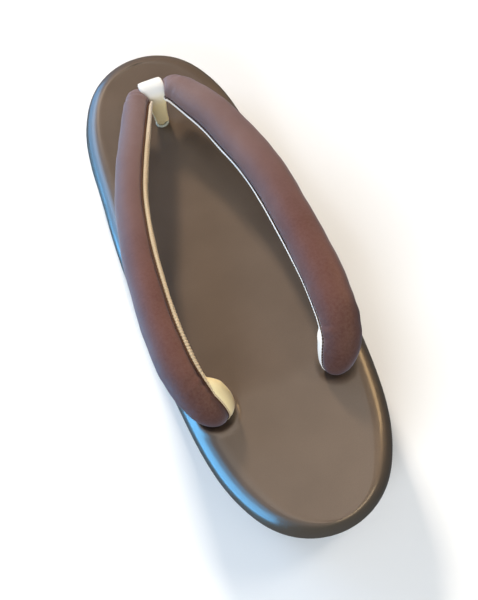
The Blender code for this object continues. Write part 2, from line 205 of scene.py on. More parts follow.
# How far the strap lies off the sole's middle line, as it does in the photo. Columns: y, offset to the right
DRIFT = np.array((
    (-0.120, -0.0026), (-0.062, -0.0026), (-0.045, -0.0030), (-0.020, -0.0023), (0.000, -0.0015), (0.020, -0.0004),
    (0.040, 0.0006), (0.060, 0.0016), (0.072, 0.0014), (0.081, 0.0006), (0.092, 0.0003), (0.120, 0.0),
))
# Each arm's own form. Columns: place in the ARM table, more outward lean, inner seam, outer seam (degrees), radius of
# the lining's rolled edge, share of the width, shift outwards. A seam of 0 lies on the arm's inner side, and 90 on
# its crown.
LEFT_ARM = np.array((
    (0.0, 0, -24, 206, 0.0005, 1.00, 0.0), (1.0, 0, -22, 206, 0.0005, 1.00, 0.0),
    (2.0, 0, -20, 206, 0.0006, 1.24, -0.0006), (3.0, 6, -14, 207, 0.0009, 0.92, -0.0014),
    (4.0, 10, -8, 208, 0.0011, 0.83, -0.0012),
    (5.0, 16, -5, 209, 0.0012, 0.87, -0.0009), (6.0, 20, -4, 210, 0.0012, 0.92, -0.0006),
    (9.0, 22, -6, 212, 0.0011, 0.93, -0.0006), (12.0, 20, -11, 212, 0.0010, 0.96, -0.0002),
    (13.0, 16, -6, 212, 0.0006, 0.98, 0.0), (14.0, 12, 4, 212, 0.0004, 1.00, 0.0),
    (15.0, 6, 10, 212, 0.0004, 1.00, 0.0),
))
RIGHT_ARM = np.array((
    (0.0, 0, -24, 206, 0.0004, 1.00, 0.0), (1.0, 0, -24, 206, 0.0005, 1.05, 0.0),
    (2.0, 0, -24, 206, 0.0007, 1.60, 0.0004), (3.0, -3, -23, 207, 0.0007, 1.16, 0.0008),
    (4.0, -6, -22, 208, 0.0007, 1.06, 0.0007),
    (6.0, -12, -20, 210, 0.0007, 1.02, 0.0003), (9.0, -14, -20, 212, 0.00065, 1.00, 0.0),
    (12.0, -12, -26, 212, 0.0005, 1.01, 0.0), (13.0, -8, -30, 212, 0.0005, 1.02, 0.0),
    (14.0, -4, -28, 212, 0.0005, 1.02, 0.0), (15.0, 0, -22, 212, 0.0004, 1.00, 0.0),
))
# The lining's bulge by the strap's ends. Arm: first and last place, turn in degrees, half width in degrees, height
BULGES = {-1: (12.9, 15.4, -34, 34, 0.0030), 1: (12.7, 14.9, -44, 27, 0.0016)}
# The strap's ends. Arm: shift to the right, shift towards the toe, share of the dimple's depth, share of its rim
ENDS = {-1: (0.0013, -0.0010, 1.0, 1.0), 1: (0.0, 0.0008, 0.8, 0.2)}
# Troughs over the strap. Columns: arm (-1 left, 1 right), place in the ARM table, turn in degrees, half length along
# the arm in rows, half width round it in degrees, slant, depth
CREASES = (
    (-1, 12.6, 20, 0.16, 34, 0.004, 0.00045),
    (-1, 13.1, 24, 0.14, 30, 0.004, 0.00035),
    (-1, 2.6, 60, 0.20, 40, 0.006, 0.00050),
    (-1, 3.2, 110, 0.16, 30, -0.004, 0.00028),
    (1, 2.6, 80, 0.18, 46, 0.004, 0.00018),
    (1, 3.3, 40, 0.18, 30, 0.004, 0.00015),
    (1, 12.8, 10, 0.18, 26, 0.004, 0.00040),
    (1, 14.2, 150, 0.45, 9, 0.000, 0.00095),
    (1, 11.9, 170, 0.20, 30, -0.003, 0.00022),
)
# Low, slow unevenness of the wadding. Columns: height, change per row of the ARM table, per turn, between the arms
WAVER = ((0.00010, 1.9, 2.0, 1.0), (0.00008, 4.3, -1.0, 2.1), (0.00005, 9.1, 3.0, 0.0))


def slopes_of(places, values, steady):
    """Slopes at a table's rows: never past its own rows where steady, and otherwise free."""
    steps = np.diff(values) / np.diff(places)
    before, after = steps[:-1], steps[1:]
    if steady:
        product = before * after
        total = np.where(np.abs(before + after) < 1e-12, 1.0, before + after)
        inner = np.where(product <= 0, 0.0, 2 * product / total)
        return np.concatenate(([steps[0]], inner, [steps[-1]]))
    inner = (before + after) / 2
    return np.concatenate(([1.5 * steps[0] - 0.5 * inner[0]], inner, [1.5 * steps[-1] - 0.5 * inner[-1]]))


def between(places, values, slopes, at):
    """A smooth curve through a table's rows, read at one or many places."""
    at = np.clip(at, places[0], places[-1])
    i = np.clip(np.searchsorted(places, at, side="right") - 1, 0, len(places) - 2)
    width = places[i + 1] - places[i]
    s = (at - places[i]) / width
    return (
        values[i] * (1 + 2 * s) * (1 - s) ** 2
        + slopes[i] * width * s * (1 - s) ** 2
        + values[i + 1] * s * s * (3 - 2 * s)
        + slopes[i + 1] * width * s * s * (s - 1)
    )


def read(rows, column, at):
    """A column of a table whose first column is the place, at one or many places."""
    places, values = rows[:, 0], rows[:, column]
    return between(places, values, slopes_of(places, values, True), at)


def share(y):
    return np.clip(y / SOLE_LENGTH + 0.5, 0.0, 1.0)


def half_width(along):
    return 2 * HALF_WIDTH * np.sqrt(along * (1 - along)) * read(OUTLINE, 1, along)


def under_z(y):
    along = share(y)
    return (
        HEEL_BEVEL * read(UNDER, 1, along) + ARCH_RISE * read(UNDER, 2, along) + TOE_SPRING * read(UNDER, 3, along)
    )


def deck_line(y):
    along = share(y)
    drop = HEEL_HEIGHT - FOREFOOT_HEIGHT
    return FOREFOOT_HEIGHT + drop * read(DECK, 1, along) + TOE_SPRING * read(DECK, 2, along)


def drift(y):
    return read(DRIFT, 1, y)


def pressed(x, y):
    """The dimples where the strap and the loop go into the deck, the strap's two each with a low raised rim round it.
    """
    toe = np.hypot(x - drift(TOE_HOLE_Y), y - TOE_HOLE_Y) / TOE_DIMPLE_RADIUS
    down = TOE_DIMPLE_DEPTH * np.exp(-TOE_DIMPLE_SHARPNESS * toe**2)
    shift = drift(SIDE_HOLE_Y)
    for side, (right, ahead, depth, rim) in ENDS.items():
        far = np.hypot(x - side * SIDE_HOLE_X - shift - right, y - SIDE_HOLE_Y - ahead)
        down = down + DIMPLE_DEPTH * depth * np.exp(-((far / DIMPLE_RADIUS) ** DIMPLE_STEEPNESS))
        down = down - DIMPLE_RIM * rim * np.exp(-(((far - DIMPLE_RIM_RADIUS) / DIMPLE_RIM_WIDTH) ** 2))
    return down


def outline(count):
    """Points and outward normals of the right half of the sole's widest outline, from the heel to the toe."""
    turn = np.linspace(0, math.pi, count)
    along = (1 - np.cos(turn)) / 2
    step = 1e-4
    early = (1 - np.cos(turn - step)) / 2
    late = (1 - np.cos(turn + step)) / 2
    x = half_width(along)
    y = (along - 0.5) * SOLE_LENGTH
    run_x = half_width(late) - half_width(early)
    run_y = (late - early) * SOLE_LENGTH
    run_x[0], run_y[0] = 1.0, 0.0
    run_x[-1], run_y[-1] = -1.0, 0.0
    size = np.hypot(run_x, run_y)
    return x, y, run_y / size, -run_x / size


def mirror_ring(half):
    """A closed ring of points from its right half, heel to toe, and the same points on the left."""
    left = half[-2:0:-1] * np.array((-1.0, 1.0, 1.0))
    return np.concatenate((half, left))


def sheet_between(half, height, across):
    """A surface inside a ring: a row of points across the sole for each point of the ring's right half."""
    s = np.linspace(-1, 1, across)[None, :]
    x = half[:, :1] * s
    y = np.repeat(half[:, 1:2], across, axis=1)
    return np.stack((x, y, height(x, y, np.broadcast_to(np.abs(s), x.shape))), axis=-1)


def mesh_from(name, patches):
    """One mesh from grids of points. A patch is (points, closed along its second index)."""
    mesh = bmesh.new()
    for points, closed in patches:
        rows, columns = points.shape[:2]
        corners = [[mesh.verts.new(point) for point in row] for row in points.tolist()]
        last = columns if closed else columns - 1
        for a, b in zip(corners, corners[1:]):
            for i in range(last):
                j = (i + 1) % columns
                mesh.faces.new((a[i], a[j], b[j], b[i]))
    bmesh.ops.remove_doubles(mesh, verts=mesh.verts, dist=WELD)
    bmesh.ops.dissolve_degenerate(mesh, edges=mesh.edges, dist=WELD / 2)
    bmesh.ops.recalc_face_normals(mesh, faces=mesh.faces)
    data = bpy.data.meshes.new(name)
    mesh.to_mesh(data)
    mesh.free()
    data.shade_smooth()
    piece = bpy.data.objects.new(name, data)
    bpy.context.scene.collection.objects.link(piece)
    return piece


def base_z(y):
    return under_z(y) + OUTSOLE_THICKNESS + BODY_LIFT


def make_body():
    """The wrapped body: tucked in below, rounded over at the shoulder, dished and dimpled on top."""
    x, y, nx, ny = outline(BODY_POINTS)
    along = share(y)
    places = np.arange(len(SIDE), dtype=float)
    steps = np.linspace(0, len(SIDE) - 1, BODY_RINGS)
    table = np.array([between(places, column, slopes_of(places, column, True), steps) for column in SIDE.T]).T
    back = 1 - (1 - HEEL_BACK_SHARE) * np.clip(-ny, 0, 1) ** 2
    rings, halves = [], []
    for rise, heel_tuck, heel_round, toe_tuck, toe_round in table:
        heel = UNDERCUT * heel_tuck + HEEL_SHOULDER * heel_round * back
        toe = UNDERCUT * toe_tuck + TOE_SHOULDER * toe_round
        inset = heel + (toe - heel) * along
        px, py = x - nx * inset, y - ny * inset
        px[0] = px[-1] = 0.0
        halves.append(np.stack((px, py, 0 * px), axis=1))
        ring = mirror_ring(halves[-1])
        low = base_z(ring[:, 1])
        high = deck_line(ring[:, 1]) - pressed(ring[:, 0], ring[:, 1])
        ring[:, 2] = low + (high - low) * rise
        rings.append(ring)

    def deck(px, py, s):
        dish = DECK_DISH * (1 - s**2) * np.sqrt(np.sin(math.pi * share(py)))
        rim = halves[-1][:, :1] * (1 - s)
        ridge = RIM_RIDGE * np.exp(-((rim / RIM_RIDGE_WIDTH - 0.9) ** 2)) * (s < 1)
        return deck_line(py) - dish - pressed(px, py) + ridge * np.minimum(rim / (0.5 * RIM_RIDGE_WIDTH), 1)

    top = sheet_between(halves[-1], deck, DECK_POINTS)
    under = sheet_between(halves[0], lambda px, py, s: base_z(py), 13)
    return mesh_from("sole_cover", ((np.array(rings), True), (top, False), (under, False)))


def make_outsole():
    """The rubber sheet, with fine waved ribs pressed into its underside."""
    x, y, nx, ny = outline(OUTSOLE_POINTS)
    # Inset and lift of each ring, from below
    levels = (
        (OUTSOLE_INSET + OUTSOLE_EDGE, 0.0), (OUTSOLE_INSET + 0.0003, 0.0002), (OUTSOLE_INSET, OUTSOLE_EDGE),
        (OUTSOLE_INSET, OUTSOLE_THICKNESS * 0.5), (OUTSOLE_INSET, OUTSOLE_THICKNESS),
    )
    rings, halves = [], []
    for inset, lift in levels:
        px, py = x - nx * inset, y - ny * inset
        px[0] = px[-1] = 0.0
        halves.append(np.stack((px, py, 0 * px), axis=1))
        ring = mirror_ring(halves[-1])
        ring[:, 2] = under_z(ring[:, 1]) + lift
        rings.append(ring)
    edge = halves[0]

    def tread(px, py, s):
        inside = edge[:, :1] * (1 - s)
        ends = SOLE_LENGTH / 2 - OUTSOLE_INSET - np.abs(py)
        room = np.clip(np.minimum(inside, ends) / TREAD_MARGIN - 1, 0, 1)
        bend = TREAD_WAVE * np.cos(px * 2 * math.pi / TREAD_WAVE_LENGTH)
        wave = np.sin(2 * math.pi * (py + bend) / TREAD_PITCH)
        groove = np.clip((wave + 0.15) * 2.2, 0, 1)
        return under_z(py) + TREAD_DEPTH * groove * room

    bottom = sheet_between(edge, tread, TREAD_POINTS)
    top = sheet_between(halves[-1], lambda px, py, s: under_z(py) + OUTSOLE_THICKNESS, 5)
    return mesh_from("outsole_tread", ((np.array(rings), True), (bottom, False), (top, False)))


def unit(vectors):
    return vectors / np.maximum(np.linalg.norm(vectors, axis=-1, keepdims=True), 1e-12)


def arm_values(column, at):
    places = np.arange(len(ARM), dtype=float)
    slopes = slopes_of(places, ARM[:, column], False)
    if column != SPREAD:
        slopes[0] = 0.0
    return between(places, ARM[:, column], slopes, at)


def arm_centres(at):
    y = SIDE_HOLE_Y + arm_values(FORWARD, at) * (LOOP_Y - SIDE_HOLE_Y)
    x = arm_values(SPREAD, at) * ARM_SPREAD
    return np.stack((x, y, deck_line(y) + arm_values(LIFT, at) * STRAP_RISE), axis=-1)


def crown_of(run, lean, back):
    """Where an arm's crown looks: up, leaning outwards, and back towards the heel near the end."""
    outward = unit(np.stack((-run[:, 1], run[:, 0], 0 * run[:, 0]), axis=-1))
    lean, back = np.radians(lean)[:, None], np.radians(back)[:, None]
    up, heel = np.array((0.0, 0.0, 1.0)), np.array((0.0, -1.0, 0.0))
    return outward * np.sin(lean) + up * np.cos(lean) * np.cos(back) + heel * np.cos(lean) * np.sin(back)


def arm_spine(own, step=0.125, tip_steps=18):
    """Everything that places one arm's sections: centre, run, crown, width, thickness, padding and row place."""
    at = np.arange(0, ARM_END + step / 2, step)
    centre = arm_centres(at)
    run = unit(arm_centres(at + SLOPE_STEP) - arm_centres(np.maximum(at - SLOPE_STEP, 0)))
    run[-1] = unit(arm_centres(np.array([ARM_END])) - arm_centres(np.array([ARM_END - SLOPE_STEP])))[0]
    run[0] = (1.0, 0.0, 0.0)
    lean = arm_values(LEAN, at) + read(own, 1, at)
    crown = crown_of(run, lean, arm_values(BACK, at))
    centre[:, 0] += read(own, 6, at)
    width = STRAP_WIDTH * arm_values(WIDE, at) * read(own, 5, at)
    thick = STRAP_THICKNESS * arm_values(THICK, at) * (0.5 + 0.5 * read(own, 5, at))
    padded = np.ones_like(at)
    seat = np.array((SIDE_HOLE_X, SIDE_HOLE_Y, 0.0))
    seat[2] = deck_line(SIDE_HOLE_Y) - DECK_DISH * 0.5 - DIMPLE_DEPTH + SEAT_LIFT
    end = centre[-1]
    reach = np.linalg.norm(seat - end)
    start_slope, end_slope = run[-1] * reach, np.array((0.0, 0.0, -reach))
    turn = (np.arange(1, tip_steps + 1) / tip_steps) * math.pi / 2
    s = np.sin(turn)[:, None]

    def along(s):
        return (
            end * (1 + 2 * s) * (1 - s) ** 2 + start_slope * s * (1 - s) ** 2
            + seat * s * s * (3 - 2 * s) + end_slope * s * s * (s - 1)
        )

    tip = along(s)
    tip_run = unit(tip - along(s - SLOPE_STEP))
    flat = s[:, 0]
    end_run = np.repeat(run[-1:], tip_steps, axis=0)
    tip_lean = ARM[-1, LEAN] + read(own, 1, ARM_END + flat)
    tip_crown = crown_of(end_run, tip_lean, ARM[-1, BACK] + (90 - ARM[-1, BACK]) * flat)
    tip_pad = np.cos(turn) ** TIP_TAPER
    cord = 2 * STRAP_CORD_RADIUS
    spine = {
        "centre": np.concatenate((centre, tip)),
        "run": np.concatenate((run, tip_run)),
        "crown": np.concatenate((crown, tip_crown)),
        "width": np.concatenate((width, cord + (width[-1] - cord) * tip_pad)),
        "thick": np.concatenate((thick, cord + (thick[-1] - cord) * tip_pad)),
        "padded": np.concatenate((padded, tip_pad)),
        "at": np.concatenate((at, ARM_END + flat)),
    }
    spine["crown"] = unit(spine["crown"] - spine["run"] * np.sum(spine["crown"] * spine["run"], -1, keepdims=True))
    spine["across"] = np.cross(spine["run"], spine["crown"])
    return spine


def section_points(spine, turns, stand=0.0):
    """Points of each section at the given turns (a row of angles for each section), moved out by stand."""
    side, up = np.cos(turns), np.sin(turns)
    padded = spine["padded"][:, None]
    above = (0.5 + CROWN_BIAS * padded) * up
    below = -(0.5 - CROWN_BIAS * padded) * np.abs(up) ** (1 - LINING_FLATNESS * padded)
    height = np.where(up > 0, above, below)
    half_wide = spine["width"][:, None] / 2
    out_side = side / half_wide
    out_up = height / np.maximum(spine["thick"][:, None], 1e-6) * 4
    size = np.maximum(np.hypot(out_side, out_up), 1e-9)
    x = side * half_wide + stand * out_side / size
    z = height * spine["thick"][:, None] + stand * out_up / size
    return (
        spine["centre"][:, None, :]
        + spine["across"][:, None, :] * x[..., None]
        + spine["crown"][:, None, :] * z[..., None]
    )


def crease_depth(side, at, turns):
    """How deep the strap is pressed in by its listed troughs, with a low ridge beside each."""
    total = np.zeros_like(turns)
    degrees = np.degrees(turns)
    for arm, place, turn, length, wide, slant, depth in CREASES:
        if arm != side:
            continue
        off = (degrees - turn + 180) % 360 - 180
        along = (at[:, None] - place - slant * off) / length
        ridge = CREASE_RIDGE_SHARE * np.exp(-((along - CREASE_RIDGE_PLACE) ** 2))
        total += depth * (np.exp(-(along**2)) - ridge) * np.exp(-((off / wide) ** 2))
    return total


def waver(at, turns, side):
    """Low, slow unevenness of the wadding under the fabric."""
    return sum(
        height * np.sin(by_row * at[:, None] + by_turn * turns + by_arm * side)
        for height, by_row, by_turn, by_arm in WAVER
    )


def placed(points, side):
    """An arm's points on its own side of the sandal, with the strap's drift."""
    points = points * np.array((side, 1.0, 1.0))
    points[..., 0] += drift(points[..., 1])
    near = np.clip((END_ZONE_START - points[..., 1]) / END_ZONE_LENGTH, 0, 1)
    near = near * near * (3 - 2 * near)
    right, ahead = ENDS[side][:2]
    points[..., 0] += right * near
    points[..., 1] += ahead * near
    return points


def both_arms(shape):
    """Rings of the left arm from its end to the middle, and on along the right arm."""
    left = placed(shape(-1, LEFT_ARM), -1)
    right = placed(shape(1, RIGHT_ARM), 1)
    return np.concatenate((left[:0:-1], right))


def make_strap():
    """The padded tube that the outer fabric covers, pressed in along both seams."""
    def shape(side, own):
        spine = arm_spine(own)
        around = np.linspace(0, 2 * math.pi, STRAP_SIDES, endpoint=False)
        turns = np.repeat(around[None, :], len(spine["at"]), axis=0)
        inner = np.radians(read(own, 2, spine["at"]))[:, None]
        outer = np.radians(read(own, 3, spine["at"]))[:, None]
        off_inner = (turns - inner - SEAM_GROOVE_LEAD + math.pi) % (2 * math.pi) - math.pi
        off_outer = (turns - outer + math.pi) % (2 * math.pi) - math.pi
        groove = SEAM_GROOVE * sum(np.exp(-((off / SEAM_GROOVE_WIDTH) ** 2)) for off in (off_inner, off_outer))
        stand = waver(spine["at"], turns, side) - groove - crease_depth(side, spine["at"], turns)
        stand = stand * spine["padded"][:, None]
        points = section_points(spine, turns, stand)
        bottom = points[-1:].mean(axis=1, keepdims=True) - np.array((0, 0, CORD_TAIL))
        return np.concatenate((points, np.repeat(bottom, points.shape[1], axis=1)))

    return mesh_from("strap_padding", ((both_arms(shape), True),))


def make_lining():
    """The thin lining under the strap, from seam to seam, with its own thickness."""
    def shape(side, own):
        spine = arm_spine(own)
        inner = np.radians(read(own, 2, spine["at"]))[:, None]
        outer = np.radians(read(own, 3, spine["at"]))[:, None]
        s = np.linspace(0, 1, LINING_POINTS)[None, :]
        turns = outer + (inner + 2 * math.pi - outer) * s
        edge = np.minimum(np.minimum(s, 1 - s) / LINING_EDGE_SHARE, 1)
        first, last, place, wide, height = BULGES[side]
        way = np.clip((spine["at"] - first) / (last - first), 0, 1)[:, None]
        off = (np.degrees(turns) - place + 180) % 360 - 180
        bulge = height * np.sin(math.pi * way**0.85) ** 0.8 * np.exp(-((off / wide) ** 2))
        top = section_points(spine, turns, LINING_STAND * np.sqrt(edge) + bulge * np.minimum(edge * 0.6 + 0.4, 1))
        inside = section_points(spine, turns[:, ::-1], -LINING_SINK * np.sqrt(edge[:, ::-1]))
        points = np.concatenate((top, inside[:, 1:-1]), axis=1)
        points = points[spine["at"] < ARM_END + LINING_END]
        middle = points[-1:].mean(axis=1, keepdims=True)
        return np.concatenate((points, np.repeat(middle, points.shape[1], axis=1)))

    return mesh_from("strap_lining", ((both_arms(shape), True),))


def make_line(name, lead, share_of_edge, stand_share):
    """A cord along the inner seam, drawn in at every stitch: the lining's rolled edge, or a dark cord of painted
    shade beside the seam.
    """
    def shape(side, own):
        spine = arm_spine(own, LINE_STEP, LINE_TIP_STEPS)
        keep = spine["at"] < ARM_END + LINE_END
        spine = {key: value[keep] for key, value in spine.items()}
        inner = np.radians(read(own, 2, spine["at"]))[:, None]
        radius = read(own, 4, spine["at"])
        turn_in = lead * radius[:, None] / EDGE_RADIUS
        spot = section_points(spine, inner + turn_in, stand_share * radius[:, None])[:, 0]
        run = unit(np.gradient(spot, axis=0))
        length = np.concatenate(([0], np.cumsum(np.linalg.norm(np.diff(spot, axis=0), axis=1))))
        drawn = 1 - STITCH_DRAW * np.exp(-((((length / STITCH_PITCH) % 1) - 0.5) / STITCH_WIDTH) ** 2)
        drawn = drawn * (1 + 0.10 * np.sin(length / 0.0093 + side) * np.sin(length / 0.0041))
        out = unit(spine["across"] - run * np.sum(spine["across"] * run, -1, keepdims=True))
        over = np.cross(run, out)
        turn = np.linspace(0, 2 * math.pi, LINE_SIDES, endpoint=False)
        size = (radius * share_of_edge * drawn)[:, None, None]
        ring = spot[:, None] + size * (
            out[:, None] * np.cos(turn)[None, :, None] + over[:, None] * np.sin(turn)[None, :, None]
        )
        end = np.repeat(ring[-1:].mean(axis=1, keepdims=True), LINE_SIDES, axis=1)
        return np.concatenate((ring, end))

    return mesh_from(name, ((both_arms(shape), True),))


def loop_path(count=48):
    """The band's middle line in the plane x = 0: a belt round the strap's neck and the knot under it."""
    neck = arm_centres(np.array([0.0]))[0]
    deck = deck_line(TOE_HOLE_Y) - DECK_DISH - TOE_DIMPLE_DEPTH
    knot = np.array((0.0, TOE_HOLE_Y, deck + LOOP_KNOT_LIFT))
    neck_radius = STRAP_WIDTH * ARM[0, WIDE] / 2 + LOOP_CLEARANCE + LOOP_THICKNESS / 2
    knot_radius = LOOP_THICKNESS / 2 + LOOP_CLEARANCE
    way = unit(neck - knot)
    far = np.linalg.norm(neck - knot)
    opening = math.acos((knot_radius - neck_radius) / far)

    def turned(angle):
        cos, sin = np.cos(angle), np.sin(angle)
        return np.stack((0 * angle, way[1] * cos - way[2] * sin, way[1] * sin + way[2] * cos), axis=-1)

    over = neck + turned(opening * (1 - 2 * np.linspace(0, 1, count + 1))) * neck_radius
    low_angle = 2 * math.pi - 2 * opening
    under = knot + turned(-opening - low_angle * np.linspace(0, 1, 13)) * knot_radius
    legs = np.linspace(0, 1, 16)[1:-1, None]
    front = over[-1] + (under[0] - over[-1]) * legs
    rear = under[-1] + (over[0] - under[-1]) * legs
    return np.concatenate((over, front, under, rear)), knot


def make_loop():
    """The folded cloth band over the strap's neck, pleated where it fans out, with a turn of cloth at its foot."""
    path, _ = loop_path()
    low, high = path[:, 2].min(), path[:, 2].max()
    fan = (path[:, 2] - low) / (high - low)
    run = unit(np.roll(path, -1, axis=0) - np.roll(path, 1, axis=0))
    out = np.stack((0 * run[:, 0], run[:, 2], -run[:, 1]), axis=-1)
    width = LOOP_NECK_WIDTH + (LOOP_WIDTH - LOOP_NECK_WIDTH) * fan**1.7
    s = np.linspace(-1, 1, LOOP_POINTS)
    # Uneven folds, with flat cloth between them
    pleats = (0.5 + 0.5 * np.cos(math.pi * (3.3 * s + 0.45 * np.sin(2.4 * s) + 0.3))) ** 2.5
    depth = PLEAT_DEPTH * (0.35 + 0.65 * fan)[:, None] * pleats[None, :]
    edge = np.sqrt(np.maximum(1 - s**8, 0))[None, :]
    wave = FLAP_WAVE * fan[:, None] * np.sin(5.2 * s + 0.9)[None, :]
    outer = LOOP_THICKNESS / 2 * edge - depth * edge + wave
    inner = -LOOP_THICKNESS / 2 * edge
    x = s[None, :] * (width / 2)[:, None]
    lean = drift(path[:, 1])[:, None] - 0.0002 + 0.0006 * (1 - fan)[:, None]

    def face(height, order):
        points = path[:, None, :] + out[:, None, :] * height[:, order][..., None]
        points[..., 0] = (x + lean)[:, order]
        return points

    forward = np.arange(LOOP_POINTS)
    ring = np.concatenate((face(outer, forward), face(inner, forward[::-1][1:-1])), axis=1)
    ring = np.concatenate((ring, ring[:1]))
    return mesh_from("toe_loop_band", ((ring, True),))


def tube(name, path, radius, sides=14, closed=True):
    """A round tube along a path, either a closed turn or an upright length with both ends shut."""
    run = unit(np.roll(path, -1, axis=0) - np.roll(path, 1, axis=0)) if closed else unit(np.gradient(path, axis=0))
    up = np.array((0.0, 0.0, 1.0)) if closed else np.array((1.0, 0.0, 0.0))
    side = unit(np.cross(run, up))
    over = np.cross(side, run)
    turn = np.linspace(0, 2 * math.pi, sides, endpoint=False)
    size = np.broadcast_to(radius, (len(path),))[:, None, None]
    ring = path[:, None] + size * (
        side[:, None] * np.cos(turn)[None, :, None] + over[:, None] * np.sin(turn)[None, :, None]
    )
    if closed:
        ring = np.concatenate((ring, ring[:1]))
    else:
        ends = [np.repeat(ring[i].mean(axis=0)[None, None], sides, axis=1) for i in (0, -1)]
        ring = np.concatenate((ends[0], ring, ends[1]))
    return mesh_from(name, ((ring, True),))


def make_collar():
    """The turn of cloth that lies round the loop's foot on the deck."""
    turn = np.linspace(0, 2 * math.pi, TURN_POINTS, endpoint=False)
    radius = LOOP_CORD_RADIUS + LOOP_COLLAR_RADIUS * 0.4
    deck = deck_line(TOE_HOLE_Y) - DECK_DISH - TOE_DIMPLE_DEPTH * 0.75
    path = np.stack((
        radius * 1.12 * np.cos(turn) + drift(TOE_HOLE_Y) + LOOP_FOOT_SHIFT,
        TOE_HOLE_Y - 0.0006 + radius * 0.96 * np.sin(turn),
        deck + LOOP_COLLAR_RADIUS * 0.9 + 0.0003 * np.sin(turn + 0.5),
    ), axis=-1)
    return tube("toe_loop_turn", path, LOOP_COLLAR_RADIUS * (1 + 0.08 * np.sin(9 * turn)))


def make_foot():
    """The gathered foot of the band, from the two legs down into the deck."""
    _, knot = loop_path()
    heights = np.linspace(-0.0040, 0.0030, 15)
    points = np.stack((
        0 * heights + drift(TOE_HOLE_Y) + LOOP_FOOT_SHIFT,
        0 * heights + TOE_HOLE_Y,
        knot[2] - LOOP_KNOT_LIFT + 0.0012 + heights,
    ), axis=-1)
    radius = LOOP_CORD_RADIUS * (0.94 - 0.12 * (heights / 0.003).clip(0, 1) ** 2)
    return tube("toe_loop_foot", points, radius, sides=40, closed=False)


class Surface:
    """A material with a Principled shader and short ways to add the nodes that feed it."""

    def __init__(self, name, **sockets):
        self.material = bpy.data.materials.new(name)
        self.material.use_nodes = True
        self.tree = self.material.node_tree
        self.shader = self.tree.nodes["Principled BSDF"]
        for key, value in sockets.items():
            self.shader.inputs[key.replace("_", " ")].default_value = value
        self.place = self.tree.nodes.new("ShaderNodeTexCoord").outputs["Object"]

    def feed(self, target, value):
        if isinstance(value, bpy.types.NodeSocket):
            self.tree.links.new(value, target)
        else:
            target.default_value = value

    def noise(self, scale, detail=2.0, roughness=0.5):
        made = self.node("ShaderNodeTexNoise", Vector=self.place, Scale=scale, Detail=detail, Roughness=roughness)
        return made.outputs[0]

    def node(self, kind, **sockets):
        made = self.tree.nodes.new(kind)
        for key, value in sockets.items():
            self.feed(made.inputs[key], value)
        return made

    def spread(self, value, low, high, to_low=0.0, to_high=1.0):
        made = self.tree.nodes.new("ShaderNodeMapRange")
        for key, number in (("From Min", low), ("From Max", high), ("To Min", to_low), ("To Max", to_high)):
            made.inputs[key].default_value = number
        self.tree.links.new(value, made.inputs["Value"])
        return made.outputs[0]

    def mix(self, factor, first, second):
        made = self.tree.nodes.new("ShaderNodeMix")
        made.data_type = "RGBA"
        self.feed(made.inputs[0], factor)
        self.feed(made.inputs[6], first)
        self.feed(made.inputs[7], second)
        return made.outputs[2]

    def axis(self, name):
        return self.node("ShaderNodeSeparateXYZ", Vector=self.place).outputs[name]

    def colour(self, value):
        self.feed(self.shader.inputs["Base Color"], value)

    def rough(self, value):
        self.feed(self.shader.inputs["Roughness"], value)

    def bumps(self, *layers):
        """Layers of (height, strength, distance), the coarse one first."""
        before = None
        for height, strength, distance in layers:
            made = self.tree.nodes.new("ShaderNodeBump")
            self.feed(made.inputs["Height"], height)
            made.inputs["Strength"].default_value = strength
            made.inputs["Distance"].default_value = distance
            if before:
                self.tree.links.new(before, made.inputs["Normal"])
            before = made.outputs[0]
        self.tree.links.new(before, self.shader.inputs["Normal"])


def leather():
    """Smooth satin leather, with painted shade darkening it where it turns away from the top."""
    s = Surface("cover_leather", Coat_Weight=0.40, Coat_Roughness=0.16, Specular_IOR_Level=0.34)
    cloudy = s.noise(26, 3.0, 0.55)
    grain = s.noise(2100, 3.0, 0.6)
    pores = s.node("ShaderNodeTexVoronoi", Vector=s.place, Scale=1500.0).outputs["Distance"]
    base = s.mix(s.spread(cloudy, 0.35, 0.68), (0.096, 0.066, 0.046, 1), (0.120, 0.084, 0.059, 1))
    # Painted shade: the sides and the dimples, which turn away from the top, are mixed towards a dark olive brown.
    painted_shade_facing = s.node("ShaderNodeSeparateXYZ", Vector=s.tree.nodes.new("ShaderNodeNewGeometry").outputs["Normal"])
    base = s.mix(s.spread(painted_shade_facing.outputs["Z"], 0.96, 0.35, 0.0, 0.62), base, (0.046, 0.042, 0.030, 1))
    s.colour(s.mix(s.spread(grain, 0.35, 0.7, 0.0, 0.25), base, (0.078, 0.055, 0.039, 1)))
    s.rough(s.spread(cloudy, 0.3, 0.7, 0.40, 0.47))
    s.bumps((s.noise(120, 2.0), 0.10, 0.0004), (pores, 0.10, 0.00008), (grain, 0.16, 0.00008))
    return s.material


def suede():
    """Napped fabric, with painted light paling and greying it towards the toe, and painted shade darkening the
    strap's ends.
    """
    s = Surface(
        "strap_suede", Sheen_Weight=0.24, Sheen_Roughness=0.45, Sheen_Tint=(0.78, 0.82, 1.0, 1),
        Specular_IOR_Level=0.14,
    )
    cloudy = s.noise(60, 3.0, 0.6)
    nap = s.noise(950, 4.0, 0.70)
    # Painted light: the rear is a dark reddish brown and the front a paler greyish mauve, as if lit from the front.
    rear = s.mix(s.spread(cloudy, 0.3, 0.7), (0.092, 0.034, 0.024, 1), (0.120, 0.048, 0.034, 1))
    front = s.mix(s.spread(cloudy, 0.3, 0.7), (0.176, 0.118, 0.110, 1), (0.208, 0.148, 0.140, 1))
    base = s.mix(s.spread(s.axis("Y"), -0.010, 0.095), rear, front)
    # Painted shade: the strap's ends are darkened almost to black.
    base = s.mix(s.spread(s.axis("Y"), -0.045, -0.068, 0.0, 0.55), base, (0.038, 0.016, 0.012, 1))
    s.colour(s.mix(s.spread(nap, 0.3, 0.72, 0.0, 0.42), base, (0.160, 0.086, 0.072, 1)))
    s.rough(s.spread(nap, 0.3, 0.7, 0.52, 0.64))
    s.bumps((cloudy, 0.12, 0.0006), (nap, 0.45, 0.00016))
    return s.material


